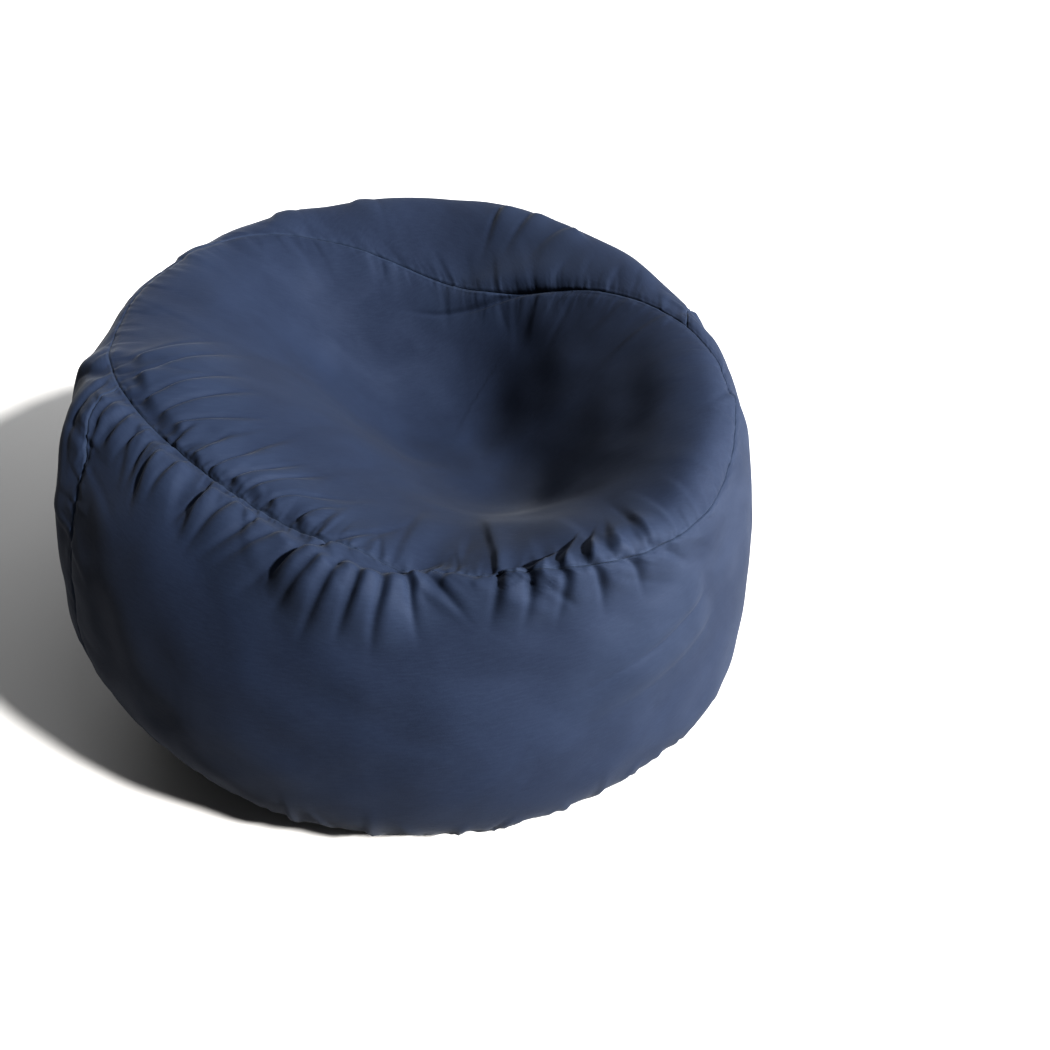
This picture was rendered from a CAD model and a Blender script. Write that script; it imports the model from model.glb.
"""The looks of the round bean bag chair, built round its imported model.

Metres, +Z up, the front towards -Y, the origin at the middle of the base on the floor.
Stations count along a line up the bag's side: 0 base centre, 1 base edge, 2 top of the foot cone,
3 widest place, 4 shoulder, 5 crest of the rim, 6 inner slope, 7 edge of the hollow's floor,
8 lowest point of the hollow. Angles turn from +X towards +Y.
"""

import math
from dataclasses import dataclass, replace

import bmesh
import bpy
import numpy as np
from mathutils import Matrix, Vector, noise


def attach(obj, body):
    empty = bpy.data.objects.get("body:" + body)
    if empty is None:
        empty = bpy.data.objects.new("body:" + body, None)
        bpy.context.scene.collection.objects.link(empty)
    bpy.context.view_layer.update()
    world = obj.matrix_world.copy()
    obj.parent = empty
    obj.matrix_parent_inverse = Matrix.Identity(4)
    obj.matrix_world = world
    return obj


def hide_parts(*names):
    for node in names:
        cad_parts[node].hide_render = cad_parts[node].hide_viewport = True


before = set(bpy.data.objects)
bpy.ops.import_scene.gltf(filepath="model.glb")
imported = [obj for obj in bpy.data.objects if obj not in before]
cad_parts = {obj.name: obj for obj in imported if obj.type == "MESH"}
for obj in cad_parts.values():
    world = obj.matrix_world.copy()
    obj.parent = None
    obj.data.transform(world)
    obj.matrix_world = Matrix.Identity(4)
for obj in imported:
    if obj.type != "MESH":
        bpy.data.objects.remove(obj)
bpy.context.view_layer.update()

# ---------------------------------------------------------------- sizes of the CAD form

BASE_RADIUS = 0.62
FOOT_RADIUS = 0.655
FOOT_HEIGHT = 0.05
BASE_SEAM_HEIGHT = 0.021
FOOT_TOP, LAST_STATION = 2.0, 8.0

# The form round the bag: a mean, then (sine, cosine) shares of one, two, three and four times the angle.
WIDE_RADIUS = (0.720, (0.0, -0.037), (0.0, 0.016))
WIDE_HEIGHT = (0.215, (0.0, -0.025))
RIM_RADIUS = (0.585, (0.040, -0.043), (-0.047, -0.005))
RIM_HEIGHT = (0.695, (0.090, 0.0))
RING_SEAM_STATION = (5.155, (0.44, -0.04), (0.30, -0.31), (-0.03, -0.01), (0.05, 0.025))

HOLLOW_LOW = Vector((0.10, 0.02, 0.43))
LOBE_ANGLE = math.radians(215.0)
RIGHT_LOBE_ANGLE = math.radians(20.0)
SHOULDER_OUT = 0.74
SHOULDER_UP = 0.66
SLOPE_OUT, SLOPE_OUT_LOBE = 0.62, -0.10
SLOPE_UP, SLOPE_UP_LOBE, SLOPE_UP_RIGHT_LOBE = 0.58, 0.27, 0.14
FLOOR_OUT, FLOOR_OUT_LOBE = 0.30, -0.08
FLOOR_UP, FLOOR_UP_LOBE, FLOOR_UP_RIGHT_LOBE = 0.10, 0.05, 0.20
CENTRE_SHIFT = (0.0, 0.0, 0.0, 0.15, 0.5, 0.85, 1.0)

# Two equal side panels meet in opposite seams, dragged round towards the top.
LEFT_SEAM_ANGLE = math.radians(212.0)
SEAM_DRAG = math.radians(-22.0)
SEAM_DRAG_POWER = 3.5

# Layers: depth of the outer face under the bag's form, on the foot and above it, and cloth thickness
COVER_THICKNESS = 0.0016
LINER_FOOT_DEPTH, LINER_DEPTH = 0.0065, 0.0036
LINER_THICKNESS = 0.001
FOAM_FOOT_DEPTH, FOAM_DEPTH = 0.013, 0.0062
FOOT_DEPTH_END = 2.6
SURFACE_STEP = 1e-4
POLE_STEP = 1e-3
SAME_POINT = 1e-9

# Zips along the base seam
SLOT_HALF_WIDTH = 0.009
ZIP_HALF_ANGLE = {"cover": math.radians(40.5), "liner": math.radians(31.5)}
ZIP_SPAN_MARGIN = 1e-3

# ---------------------------------------------------------------- the bag's form


def wave(shares, angles):
    """The value of one of the waves above at each angle."""
    value = np.full(len(angles), shares[0])
    for order, (sine, cosine) in enumerate(shares[1:], start=1):
        value += sine * np.sin(order * angles) + cosine * np.cos(order * angles)
    return value


def form_knots(angles):
    """Radius and height at stations 2 to 8, one column of seven per angle."""
    wide, wide_up = wave(WIDE_RADIUS, angles), wave(WIDE_HEIGHT, angles)
    rim, rim_up = wave(RIM_RADIUS, angles), wave(RIM_HEIGHT, angles)
    lobe = np.maximum(0.0, np.cos(angles - LOBE_ANGLE)) ** 2
    right_lobe = np.maximum(0.0, np.cos(angles - RIGHT_LOBE_ANGLE)) ** 2
    slope_up = SLOPE_UP + SLOPE_UP_LOBE * lobe + SLOPE_UP_RIGHT_LOBE * right_lobe
    floor_up = FLOOR_UP + FLOOR_UP_LOBE * lobe + FLOOR_UP_RIGHT_LOBE * right_lobe
    low = HOLLOW_LOW.z
    none = np.zeros(len(angles))
    radii = [
        none + FOOT_RADIUS,
        wide,
        rim + SHOULDER_OUT * (wide - rim),
        rim,
        rim * (SLOPE_OUT + SLOPE_OUT_LOBE * lobe),
        rim * (FLOOR_OUT + FLOOR_OUT_LOBE * lobe),
        none,
    ]
    heights = [
        none + FOOT_HEIGHT,
        wide_up,
        wide_up + SHOULDER_UP * (rim_up - wide_up),
        rim_up,
        low + slope_up * (rim_up - low),
        low + floor_up * (rim_up - low),
        none + low,
    ]
    return np.array(radii), np.array(heights)


def knot_tangents(knots, first, last):
    """Tangents of the smooth spline through evenly spaced knots, with both end tangents given."""
    count = len(knots)
    system = np.eye(count)
    sides = np.array(knots)
    sides[0], sides[-1] = first, last
    for row in range(1, count - 1):
        system[row, row - 1 : row + 2] = (1.0, 4.0, 1.0)
        sides[row] = 3.0 * (knots[row + 1] - knots[row - 1])
    return np.linalg.solve(system, sides.reshape(count, -1)).reshape(sides.shape)


def upper_form(angles, stations):
    """Points on the bag's form from station 2 up, one per angle."""
    radii, heights = form_knots(angles)
    shift = np.array(CENTRE_SHIFT)[:, None]
    across = shift * HOLLOW_LOW.x + radii * np.cos(angles)
    along = shift * HOLLOW_LOW.y + radii * np.sin(angles)
    knots = np.stack([across, along, heights], axis=-1)
    foot = np.stack([BASE_RADIUS * np.cos(angles), BASE_RADIUS * np.sin(angles), 0 * angles], axis=-1)
    up_the_foot = knots[0] - foot
    up_the_foot /= np.linalg.norm(up_the_foot, axis=1, keepdims=True)
    first = up_the_foot * np.linalg.norm(knots[1] - knots[0], axis=1, keepdims=True)
    last = (knots[-1] - knots[-2]) * (1.0, 1.0, 0.0)
    tangents = knot_tangents(knots, first, last)
    start = np.clip(stations.astype(int) - 2, 0, len(knots) - 2)
    share = (stations - 2 - start)[:, None]
    column = np.arange(len(angles))
    low, high = knots[start, column], knots[start + 1, column]
    leaving, arriving = tangents[start, column], tangents[start + 1, column]
    bend = (1 - share) * (leaving - (high - low)) - share * (arriving - (high - low))
    return low + share * (high - low) + share * (1 - share) * bend


def foot_direction():
    """Unit steps up the foot cone and out of it, as (radius, height)."""
    slant = Vector((FOOT_RADIUS - BASE_RADIUS, FOOT_HEIGHT)).normalized()
    return slant, Vector((slant.y, -slant.x))


def seam_place(slant, normal):
    """(radius, height) of a place near the base seam: so far up the foot cone and so far out of it."""
    up, out = foot_direction()
    seam = Vector((BASE_RADIUS, 0.0)) + up * (BASE_SEAM_HEIGHT / up.y)
    return seam + up * slant + out * normal


def foot_station(slant):
    """The station that lies this far up the foot cone from the base seam."""
    return 1.0 + (BASE_SEAM_HEIGHT + slant * foot_direction()[0].y) / FOOT_HEIGHT


def depth_at(stations, foot_depth, depth):
    """A layer's depth: foot_depth up to the foot's top, then easing to depth."""
    share = np.clip((FOOT_DEPTH_END - stations) / (FOOT_DEPTH_END - FOOT_TOP), 0.0, 1.0)
    return depth + (foot_depth - depth) * share


def form_and_normals(angles, stations):
    """Points on the form and its outward normals, from the base centre to the hollow's lowest point."""
    shape = np.shape(angles)
    angles, stations = np.ravel(angles), np.ravel(stations)
    _, out = foot_direction()
    share = np.clip(stations - 1.0, 0.0, 1.0)
    radius = BASE_RADIUS * np.minimum(stations, 1.0) + share * (FOOT_RADIUS - BASE_RADIUS)
    turn = np.stack([np.cos(angles), np.sin(angles)], axis=-1)
    lower = np.column_stack([radius[:, None] * turn, share * FOOT_HEIGHT])
    lower_normals = np.column_stack([out.x * turn, np.full(len(angles), out.y)])
    lower_normals[stations < 1.0] = (0.0, 0.0, -1.0)
    above = np.clip(stations, FOOT_TOP, LAST_STATION)
    inner = np.clip(above, FOOT_TOP + SURFACE_STEP, LAST_STATION - POLE_STEP)
    round_step = upper_form(angles + SURFACE_STEP, inner) - upper_form(angles - SURFACE_STEP, inner)
    up_step = upper_form(angles, inner + SURFACE_STEP) - upper_form(angles, inner - SURFACE_STEP)
    upper_normals = unit(np.cross(round_step, up_step))
    upper_normals[above == LAST_STATION] = (0.0, 0.0, 1.0)
    high = (stations > FOOT_TOP)[:, None]
    points = np.where(high, upper_form(angles, above), lower)
    normals = np.where(high, upper_normals, lower_normals)
    return points.reshape(*shape, 3), normals.reshape(*shape, 3)


def unit(vectors):
    return vectors / np.maximum(np.linalg.norm(vectors, axis=-1, keepdims=True), 1e-12)


# ---------------------------------------------------------------- places on the skin
#
# A place is (turn, rise): turn runs 0 to 1 round the bag from the left side seam, with the right side
# seam at a half. Rise runs 0 to 1 from the foot's top to the ring seam and 1 to 2 from there to the
# lowest point of the hollow.


def ring_station(angles):
    return wave(RING_SEAM_STATION, np.ravel(angles)).reshape(np.shape(angles))


def skin_angle(turn, rise):
    drag = SEAM_DRAG * np.clip(rise, 0.0, 1.0) ** SEAM_DRAG_POWER
    return LEFT_SEAM_ANGLE + drag + turn * math.tau


def skin_station(turn, rise):
    """The station at a place, evenly spaced on the side and on the seat."""
    top = ring_station(skin_angle(turn, rise))
    side = np.clip(rise, 0.0, 1.0)
    on_side = FOOT_TOP + 3.0 * side + (top - FOOT_TOP - 3.0) * side**3
    on_seat = top + (LAST_STATION - top) * (np.clip(rise, 1.0, 2.0) - 1.0)
    return np.where(rise <= 1.0, on_side, on_seat)


def skin_form(turn, rise):
    turn, rise = np.broadcast_arrays(turn, rise)
    return form_and_normals(skin_angle(turn, rise), skin_station(turn, rise))


# ---------------------------------------------------------------- folds


@dataclass
class Fold:
    """A fold of cloth along a line, from its start, usually at a seam, to where it dies away.

    The ridge stands height proud, as wide as width at the start and spread times as wide at the end.
    The crease is a sharp valley along its left side (looking from the start, from outside), as a share
    of the height; a negative share puts it on the right. The ridge is steeper on that side.
    """

    points: np.ndarray
    normals: np.ndarray
    height: float
    width: float
    spread: float = 1.6
    crease: float = 0.0
    swell: float = 0.0


FOLD_SAMPLES = 20
FOLD_FADE = 1.8
FOLD_REACH = 3.2
CREASE_OFFSET, CREASE_WIDTH = 0.80, 0.0072
STEEP_SIDE, GENTLE_SIDE = 0.60, 1.35


def smooth_line(corners, count):
    """Points along the smooth curve through the corners."""
    corners = np.asarray(corners, float)
    padded = np.vstack([2 * corners[0] - corners[1], corners, 2 * corners[-1] - corners[-2]])
    place = np.linspace(0.0, len(corners) - 1, count)
    span = np.minimum(place.astype(int), len(corners) - 2)
    share = (place - span)[:, None]
    weights = cubic_weights(share)
    return sum(weight * padded[span + step] for step, weight in enumerate(weights))


def cubic_weights(share):
    square, cube = share**2, share**3
    return (
        -0.5 * cube + square - 0.5 * share,
        1.5 * cube - 2.5 * square + 1.0,
        -1.5 * cube + 2.0 * square + 0.5 * share,
        0.5 * cube - 0.5 * square,
    )


def fold_along(places, height, width, **shape):
    """A fold whose line runs through (angle in degrees, station) places."""
    line = smooth_line(places, FOLD_SAMPLES)
    points, normals = form_and_normals(np.radians(line[:, 0]), line[:, 1])
    return Fold(points, normals, height, width, **shape)


def fold_relief(fold, points):
    """How far this fold lifts each point near it."""
    tangents = unit(np.gradient(fold.points, axis=0))
    lateral = np.cross(fold.normals, tangents)
    spacing = np.linalg.norm(np.gradient(fold.points, axis=0), axis=1, keepdims=True)
    line = np.hstack([fold.points, tangents / spacing, lateral, fold.normals])
    steps = points[:, None, :] - fold.points[None, :, :]
    place = np.einsum("pks,pks->pk", steps, steps).argmin(axis=1).astype(float)
    last = len(fold.points) - 1
    for _ in range(3):
        before = np.clip(np.floor(place).astype(int), 0, last - 1)
        part = (place - before)[:, None]
        here = (1.0 - part) * line[before] + part * line[before + 1]
        step = points - here[:, :3]
        across = np.einsum("ps,ps->p", step, here[:, 6:9])
        out = np.einsum("ps,ps->p", step, here[:, 9:])
        place = place + np.clip(np.einsum("ps,ps->p", step, here[:, 3:6]), -1.0, 1.0)
    share = place / last
    width = fold.width * (1.0 + (fold.spread - 1.0) * np.clip(share, 0.0, 1.0))
    swell = np.clip(share, 0.0, 1.0)
    envelope = ease(FOLD_FADE * (1.0 - swell)) * ease(share / max(0.06, 0.8 * fold.swell))
    envelope *= ease(2.0 - np.abs(out) / width) * ((share < 1.0) & (share > -0.15))
    if fold.crease == 0.0:
        return fold.height * envelope * np.exp(-((across / width) ** 2))
    toward_crease = across * math.copysign(1.0, fold.crease)
    flank = width * np.where(toward_crease > 0.0, STEEP_SIDE, GENTLE_SIDE)
    ridge = np.exp(-((across / flank) ** 2))
    valley = np.exp(-(((toward_crease - CREASE_OFFSET * width) / min(CREASE_WIDTH, 0.5 * fold.width)) ** 2))
    return fold.height * envelope * (ridge - abs(fold.crease) * valley)


def ease(share):
    share = np.clip(share, 0.0, 1.0)
    return share * share * (3.0 - 2.0 * share)


def relief_of(folds, points):
    """The summed relief of many folds at an array of points."""
    flat = points.reshape(-1, 3)
    total = np.zeros(len(flat))
    for fold in folds:
        reach = fold.width * max(1.0, fold.spread) * FOLD_REACH
        low, high = fold.points.min(axis=0) - reach, fold.points.max(axis=0) + reach
        near = np.flatnonzero(((flat > low) & (flat < high)).all(axis=1))
        if len(near):
            total[near] += fold_relief(fold, flat[near])
    return total.reshape(points.shape[:-1])


# Folds that the sitter's weight pulls into the seat panel, from the left of the ring seam inwards:
# (angle, station) places, height, width, crease and, where the fold rises slowly, its swell
SEAT_FOLDS = (
    (((184, 5.1), (179, 5.36), (172, 5.62)), 0.006, 0.010, 0.8),
    (((190, 5.1), (186, 5.38), (177, 5.72)), 0.009, 0.013, 0.9),
    (((197, 5.1), (194, 5.38), (190, 5.68)), 0.008, 0.012, 0.9),
    (((202, 5.14), (200, 5.42), (198, 5.7)), 0.008, 0.012, 0.9),
    (((206, 5.18), (207, 5.4), (210, 5.64)), 0.007, 0.011, 0.8),
    (((211, 5.12), (209, 5.3)), 0.006, 0.010, 0.8),
    (((216, 5.16), (216, 5.3), (214, 5.46)), 0.007, 0.011, 0.8),
    (((223, 5.16), (222, 5.35), (224, 5.55)), 0.004, 0.010, 0.6),
    (((228, 5.18), (229, 5.36), (232, 5.58)), 0.008, 0.012, 0.9),
    (((233, 5.18), (235, 5.4), (239, 5.62)), 0.008, 0.012, 0.9),
    (((238, 5.18), (242, 5.34), (249, 5.5)), 0.007, 0.011, 0.9),
    (((247, 5.14), (248, 5.3), (252, 5.42)), 0.006, 0.010, 0.8),
)

# Bold folds in the side panels and across the ring seam
SIDE_FOLDS = (
    (((192, 5.0), (195, 4.78), (198, 4.58), (201, 4.3)), 0.011, 0.017, 0.6),
    (((196, 5.04), (198, 4.86), (200, 4.6)), 0.008, 0.013, 0.6),
    (((186, 4.95), (190, 4.72), (194, 4.45), (198, 4.15)), 0.009, 0.016, 0.5),
    (((184, 4.93), (181, 4.7), (180, 4.45), (182, 4.2)), 0.007, 0.016, 0.4),
    (((199, 5.08), (203, 4.84), (204, 4.68)), 0.008, 0.013, -0.5),
    (((205, 5.1), (206, 4.98), (208, 4.78)), 0.008, 0.012, -0.6),
    (((208, 5.1), (211, 4.94), (214, 4.78)), 0.007, 0.011, -0.6),
    (((212, 5.1), (215, 4.92), (218, 4.72)), 0.008, 0.012, -0.6),
    (((217, 5.12), (219, 4.98), (221, 4.8)), 0.008, 0.012, -0.6),
    (((228, 5.12), (229, 4.96), (229, 4.76)), 0.009, 0.013, -0.65),
    (((235, 5.12), (235, 4.96), (235, 4.66)), 0.009, 0.015, -0.65),
    (((242, 5.1), (241, 4.84), (238, 4.56)), 0.008, 0.016, -0.7),
    (((248, 5.08), (245, 4.8), (241, 4.54)), 0.009, 0.016, -0.6),
    (((253, 5.04), (251, 4.72), (247, 4.42)), 0.009, 0.016, -0.6),
    (((250, 4.5), (252, 4.72), (255, 4.94), (259, 5.1), (265, 5.3)), 0.016, 0.018, 1.0, 0.6),
    (((258, 4.92), (256, 4.68), (253, 4.4)), 0.010, 0.014, -0.7),
    (((261, 4.96), (260, 4.68), (258, 4.3)), 0.012, 0.014, -0.7),
    (((264, 4.95), (264, 4.66), (263, 4.34)), 0.012, 0.013, -0.7),
    (((267, 4.98), (268, 4.7), (268, 4.3)), 0.013, 0.014, -0.8),
    (((269, 5.02), (272, 4.82), (274, 4.42)), 0.011, 0.014, -0.7),
    (((272, 5.04), (277, 4.86), (281, 4.55)), 0.008, 0.013, -0.6),
    (((286, 4.94), (286, 4.75), (285, 4.42)), 0.010, 0.013, -0.8),
    (((290, 4.92), (291, 4.7), (290, 4.36)), 0.012, 0.014, -0.8),
    (((294, 4.9), (296, 4.68), (295, 4.32)), 0.012, 0.014, -0.8),
    (((298, 4.88), (301, 4.64), (302, 4.3)), 0.012, 0.014, -0.7),
    (((302, 4.86), (307, 4.6), (309, 4.28)), 0.010, 0.015, -0.6),
    (((307, 4.84), (313, 4.58), (318, 4.3)), 0.008, 0.016, -0.5),
    (((322, 3.95), (312, 3.88), (302, 3.84), (292, 3.8)), 0.008, 0.024, 0.4),
    (((325, 3.7), (314, 3.6), (302, 3.55), (290, 3.5)), 0.006, 0.024, 0.3),
    (
        ((112, 6.0), (98, 6.08), (84, 6.02), (71, 5.88), (58, 5.73), (46, 5.57), (35, 5.38)),
        0.013,
        0.022,
        -0.9,
        0.5,
    ),
    (((76, 5.0), (77, 5.25), (79, 5.6)), 0.006, 0.014, -0.7),
    (((68, 4.95), (69, 5.25), (72, 5.6)), 0.006, 0.015, -0.6),
    (((56, 4.95), (59, 5.25), (63, 5.6)), 0.005, 0.016, -0.5),
    (((110, 4.8), (108, 5.1), (110, 5.5)), 0.003, 0.018, 0.4),
    (((126, 4.75), (124, 5.0), (126, 5.3)), 0.004, 0.018, 0.4),
    (((148, 4.7), (146, 4.95), (150, 5.2)), 0.004, 0.018, -0.4),
    (((20, 4.6), (24, 4.3), (26, 4.0)), 0.005, 0.018, 0.4),
    (((352, 4.7), (350, 4.4), (352, 4.0)), 0.005, 0.018, 0.4),
)
ROLL_HEIGHT, ROLL_WIDTH = 0.90, 2.5
RIDGE_HEIGHT, RIDGE_WIDTH = 0.90, 1.40
FOLD_TAIL, FOLD_SWELL = 0.5, 0.25

# Broad hollows and bulges: (places, rise, half width). The sitter's back, thighs and calves press the bag
# in, and the back panel bulges past the left side seam.
BROAD_FORMS = (
    (((131, 5.0), (133, 5.5), (138, 6.1), (150, 6.8), (200, 7.6)), -0.036, 0.125),
    (((283, 6.6), (279, 5.9), (275, 5.3), (272, 4.85), (271, 4.35), (271, 3.8)), -0.026, 0.062),
    (((300, 6.4), (306, 5.7), (312, 5.2), (318, 4.7), (322, 4.3)), -0.018, 0.066),
    (((186, 4.9), (193, 4.55), (199, 4.1), (202, 3.7), (204, 3.3)), 0.024, 0.048),
    (((222, 4.6), (226, 4.2), (228, 3.7), (228, 3.2)), 0.010, 0.090),
)


def named_folds():
    """Each named fold as a broad soft roll with a narrower, creased ridge on top."""
    folds = []
    for places, height, width, crease, *swell in SEAT_FOLDS + SIDE_FOLDS:
        line = np.array(places, float)
        line[-1] += FOLD_TAIL * (line[-1] - line[-2])
        shape = {"swell": swell[0] if swell else FOLD_SWELL}
        folds.append(fold_along(line, ROLL_HEIGHT * height, ROLL_WIDTH * width, **shape))
        folds.append(fold_along(line, RIDGE_HEIGHT * height, RIDGE_WIDTH * width, crease=crease, **shape))
    return folds


def broad_forms():
    return [fold_along(places, rise, width, spread=1.0, swell=0.9) for places, rise, width in BROAD_FORMS]


# Random puckers along a seam, in three sizes: spacing, length, height and width
PUCKER_SIZES = (
    (0.013, 0.022, 0.0012, 0.0038),
    (0.029, 0.060, 0.0026, 0.0076),
    (0.070, 0.150, 0.0050, 0.0150),
)
# The random spread of their steps along the seam, strength, length, width and narrowing
PUCKER_STEP, PUCKER_POWER, PUCKER_REACH = (0.55, 1.5), (0.35, 1.25), (0.6, 1.4)
PUCKER_WIDTH, PUCKER_SPREAD, PUCKER_CREASE = (0.8, 1.25), (1.4, 2.4), (-0.4, 0.4)
PUCKER_LEAN = 0.25
RING_SEAM_LENGTH, SIDE_SEAM_LENGTH = 3.7, 0.62

# Puckers are strongest at the left and front of the ring seam, where the sitter pulls on it: angle, reach
PUCKER_PEAKS = ((math.radians(225), 0.75), (math.radians(285), 0.5))
LEAST_PUCKER = 0.35


def ring_pucker_strength(angle):
    peaks = [math.exp(-((math.remainder(angle - at, math.tau) / reach) ** 2)) for at, reach in PUCKER_PEAKS]
    return LEAST_PUCKER + (1.0 - LEAST_PUCKER) * max(peaks)


def seam_puckers(seam_place, side_step, length, strength, seed):
    """Puckers that start on a seam and run off to one side.

    seam_place maps 0 to 1 along the seam to (turn, rise); side_step is a unit (turn, rise) step in metres.
    """
    random = np.random.default_rng(seed)
    folds = []
    for spacing, reach, height, width in PUCKER_SIZES:
        place = random.uniform(0, spacing)
        while place < length:
            share = place / length
            power = strength(share) * random.uniform(*PUCKER_POWER)
            long = reach * random.uniform(*PUCKER_REACH)
            lean = random.normal(0.0, PUCKER_LEAN)
            folds.append(pucker(seam_place, side_step, share, long, lean, height * power, width, random))
            place += spacing * random.uniform(*PUCKER_STEP)
    return folds


def pucker(seam_place, side_step, share, long, lean, height, width, random):
    """One pucker that starts at a share of the seam and leans as it runs off."""
    start = np.array(seam_place(share))
    across, along = side_step(share)
    path = []
    for step in np.linspace(0.0, 1.0, FOLD_SAMPLES // 2):
        path.append(start + long * (step * across + lean * step * step * along))
    turn, rise = np.array(path).T
    points, normals = skin_form(turn, rise)
    return Fold(
        points,
        normals,
        height,
        width * random.uniform(*PUCKER_WIDTH),
        spread=random.uniform(*PUCKER_SPREAD),
        crease=random.uniform(*PUCKER_CREASE),
    )


SCALE_STEP = 1e-3
SEAM_MARGIN = 0.02


def surface_scale(turn, rise, direction):
    """Metres per unit of turn or of rise at a place."""
    step = SCALE_STEP * np.array(direction)
    low, _ = skin_form(turn - step[0], rise - step[1])
    high, _ = skin_form(turn + step[0], rise + step[1])
    return np.linalg.norm(high - low, axis=-1) / (2 * SCALE_STEP)


def metre_steps(turn, rise, rise_above):
    """How much turn one metre is at rise, and how much rise it is at rise_above."""
    around = surface_scale(np.array([turn]), np.array([rise]), (1, 0))[0]
    up = surface_scale(np.array([turn]), np.array([rise_above]), (0, 1))[0]
    return 1.0 / around, 1.0 / up


def ring_puckers(side, seed):
    """Puckers above (side 1) or below (side -1) the ring seam."""
    rise = 1.0 + side * 1e-3

    def place(share):
        return share, rise

    def step(share):
        around, up = metre_steps(share, rise, rise + side * 0.01)
        return np.array([0.0, side * up]), np.array([around, 0.0])

    def strength(share):
        return ring_pucker_strength(float(skin_angle(share, 1.0)))

    return seam_puckers(place, step, RING_SEAM_LENGTH, strength, seed)


def side_seam_puckers(turn, side, seed):
    """Puckers to one side of a side seam."""

    def rise_at(share):
        return SEAM_MARGIN + (1.0 - 2.0 * SEAM_MARGIN) * share

    def place(share):
        return turn + side * 1e-4, rise_at(share)

    def step(share):
        around, up = metre_steps(turn, rise_at(share), rise_at(share))
        return np.array([side * around, 0.0]), np.array([0.0, up])

    def strength(share):
        return LEAST_PUCKER + 0.5 * share**2

    return seam_puckers(place, step, SIDE_SEAM_LENGTH, strength, seed)


BASE_PUCKER_SPACING, BASE_PUCKER_HEIGHT, BASE_PUCKER_WIDTH = 0.026, 0.0035, 0.008
BASE_PUCKER_START, BASE_PUCKER_MIDDLE = 1.5, 1.9


def base_puckers(seed):
    """Puckers that rise from the base seam, away from the cover's zip behind."""
    random = np.random.default_rng(seed)
    folds = []
    step = math.degrees(BASE_PUCKER_SPACING / BASE_RADIUS)
    angle = 0.0
    while angle < 360.0:
        angle += step * random.uniform(0.5, 1.6)
        long, lean, power = random.uniform(0.35, 1.1), random.normal(0.0, 2.0), random.uniform(0.4, 1.2)
        if zip_gap("cover", np.radians([angle]))[0] < SLOT_HALF_WIDTH:
            places = (
                (angle, BASE_PUCKER_START),
                (angle + lean, BASE_PUCKER_MIDDLE + long / 2),
                (angle + 1.6 * lean, BASE_PUCKER_MIDDLE + long),
            )
            height, crease = BASE_PUCKER_HEIGHT * power, random.uniform(-0.6, 0.6)
            folds.append(fold_along(places, height, BASE_PUCKER_WIDTH, crease=crease))
    return folds


def soft_waves(points, seed, wavelength, count=14):
    """A smooth random wave field with this typical wavelength and unit strength."""
    random = np.random.default_rng(seed)
    total = np.zeros(points.shape[:-1])
    for _ in range(count):
        direction = random.normal(size=3)
        direction *= math.tau / wavelength / np.linalg.norm(direction) * random.uniform(0.7, 1.3)
        total += np.sin(points @ direction + random.uniform(0, math.tau))
    return total * math.sqrt(2.0 / count)


# ---------------------------------------------------------------- the settled skin

TURN_CELLS = 576
SIDE_CELLS = 64
SEAT_CELLS = 72
ROW_RISES = np.concatenate(
    [np.arange(SIDE_CELLS) / SIDE_CELLS, 1.0 + np.arange(SEAT_CELLS + 1) / SEAT_CELLS]
)
BROAD_SWELL, BROAD_LENGTH = 0.0028, 0.34
MIDDLE_SWELL, MIDDLE_LENGTH = 0.0007, 0.11


def grid_places():
    """Turn and rise of the whole grid, one row per entry of ROW_RISES."""
    return np.meshgrid(np.arange(TURN_CELLS) / TURN_CELLS, ROW_RISES)


def skin_grid():
    """Form points and normals on the whole grid."""
    return skin_form(*grid_places())


def all_folds():
    """Every fold and pucker of the cover above its foot."""
    folds = named_folds()
    folds += ring_puckers(1, 11) + ring_puckers(-1, 12)
    for turn, seed in ((0.0, 21), (0.5, 31)):
        folds += side_seam_puckers(turn, 1, seed) + side_seam_puckers(turn, -1, seed + 1)
    return folds


def shaped_grid():
    """The grid with its soft undulation, broad hollows and bulges."""
    points, normals = skin_grid()
    rise = ROW_RISES[:, None]
    fade = ease(rise / FOOT_FADE)
    relief = BROAD_SWELL * soft_waves(points, 3, BROAD_LENGTH)
    relief += MIDDLE_SWELL * soft_waves(points, 4, MIDDLE_LENGTH)
    relief += relief_of(broad_forms(), points)
    return points + normals * (relief * fade)[..., None]


def sample_grid(grid, turn, rise):
    """Smoothly interpolated grid points at places."""
    column = np.ravel(turn) * TURN_CELLS
    rise = np.ravel(rise)
    row = np.where(rise <= 1.0, rise * SIDE_CELLS, SIDE_CELLS + (rise - 1.0) * SEAT_CELLS)
    left = np.floor(column).astype(int)
    low = np.clip(np.floor(row).astype(int), 0, len(grid) - 2)
    column_weights = cubic_weights((column - left)[:, None])
    row_weights = cubic_weights((row - low)[:, None])
    total = 0.0
    for i, row_weight in enumerate(row_weights):
        row_index = np.clip(low + i - 1, 0, len(grid) - 1)
        for j, column_weight in enumerate(column_weights):
            total = total + row_weight * column_weight * grid[row_index, (left + j - 1) % TURN_CELLS]
    return total.reshape(*np.shape(turn), 3)


# ---------------------------------------------------------------- meshes of rows


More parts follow.
